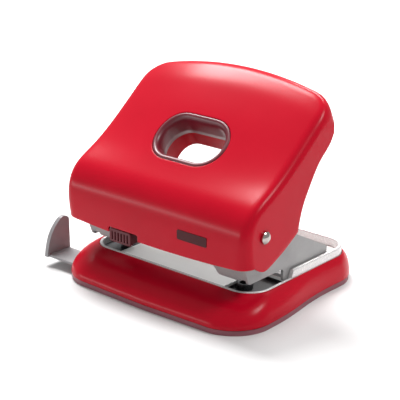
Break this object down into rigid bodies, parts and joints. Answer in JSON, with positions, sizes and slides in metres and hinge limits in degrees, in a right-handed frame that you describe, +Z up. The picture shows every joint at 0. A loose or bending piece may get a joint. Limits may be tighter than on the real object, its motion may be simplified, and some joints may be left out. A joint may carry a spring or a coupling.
{
  "type": "hole punch",
  "caption": "Desk hole punch with a wide curved press handle, thumb hole, steel deck, sprung pins, sliding paper guide and drop-down chip tray.",
  "frame": {"origin": "centre of the base's footprint, on the flat underside that the punch stands on", "axes": "+X to the right along the row of holes, +Y to the back, away from the paper throat, +Z up"},
  "size_m": [0.143, 0.1119, 0.1103],
  "materials": {
    "red_enamel": "glossy red enamel",
    "black_plastic": "fine-grained black moulding",
    "silver_steel": "satin nickel",
    "silver_bezel": "satin chrome",
    "hard_steel": "ground hardened steel",
    "frame_steel": "zinc-plated sheet",
    "bright_steel": "bright zinc",
    "chrome_cap": "bright chrome",
    "spring_steel": "drawn wire",
    "burgundy_plastic": "dark burgundy moulding",
    "badge_plastic": "dark red plate",
    "tray_plastic": "soft mauve-grey moulding",
    "guide_plastic": "light grey moulding"
  },
  "bodies": {
    "base": {"base_cover": "red_enamel", "base_chassis": "black_plastic", "base_plate": "silver_steel", "base_bezel": "silver_bezel", "die_left": "hard_steel", "die_right": "hard_steel", "punch_frame": "frame_steel", "frame_rivets": "bright_steel", "paper_stop": "silver_steel", "stop_screws": "bright_steel", "pivot_axle": "bright_steel", "axle_cap_left": "chrome_cap", "axle_cap_right": "chrome_cap", "guide_channel": "black_plastic", "pin_spring_left": "spring_steel", "pin_spring_right": "spring_steel"},
    "handle": {"handle_cover": "red_enamel", "handle_underside": "red_enamel", "thumb_ring": "burgundy_plastic", "lever_plate": "frame_steel", "lock_keeper": "frame_steel", "handle_screws": "bright_steel", "handle_badge": "badge_plastic"},
    "lock": {"lock_slider": "burgundy_plastic"},
    "pin_left": {"punch_pin_left": "hard_steel", "pin_clip_left": "bright_steel"},
    "pin_right": {"punch_pin_right": "hard_steel", "pin_clip_right": "bright_steel"},
    "tray": {"chip_tray": "tray_plastic", "tray_hinge_pins": "bright_steel"},
    "guide": {"paper_guide": "guide_plastic"}
  },
  "joints": [
    {"name": "handle_press", "type": "hinge", "parent": "base", "child": "handle", "pos_m": [0, -0.0341, 0.0477], "axis": [-1, 0, 0], "range_deg": [0, 35], "stiffness_Nm_per_rad": 0.9, "springref_deg": -20.05},
    {"name": "pin_left_drop", "type": "slide", "parent": "base", "child": "pin_left", "axis": [0, 0, -1], "range_m": [0, 0.00836], "deforming": ["pin_spring_left"]},
    {"name": "pin_right_drop", "type": "slide", "parent": "base", "child": "pin_right", "axis": [0, 0, -1], "range_m": [0, 0.00836], "deforming": ["pin_spring_right"]},
    {"name": "lock_slide", "type": "slide", "parent": "handle", "child": "lock", "axis": [1, 0, 0], "range_m": [0, 0.0045]},
    {"name": "guide_slide", "type": "slide", "parent": "base", "child": "guide", "axis": [-1, 0, 0], "range_m": [-0.012, 0.0693]},
    {"name": "tray_open", "type": "hinge", "parent": "base", "child": "tray", "pos_m": [0, 0.0542, 0.0013], "axis": [1, 0, 0], "range_deg": [0, 60]}
  ],
  "couplings": [
    {"joint": "pin_left_drop", "follows": "handle_press", "m_per_rad": 0.0136},
    {"joint": "pin_right_drop", "follows": "handle_press", "m_per_rad": 0.0136}
  ]
}
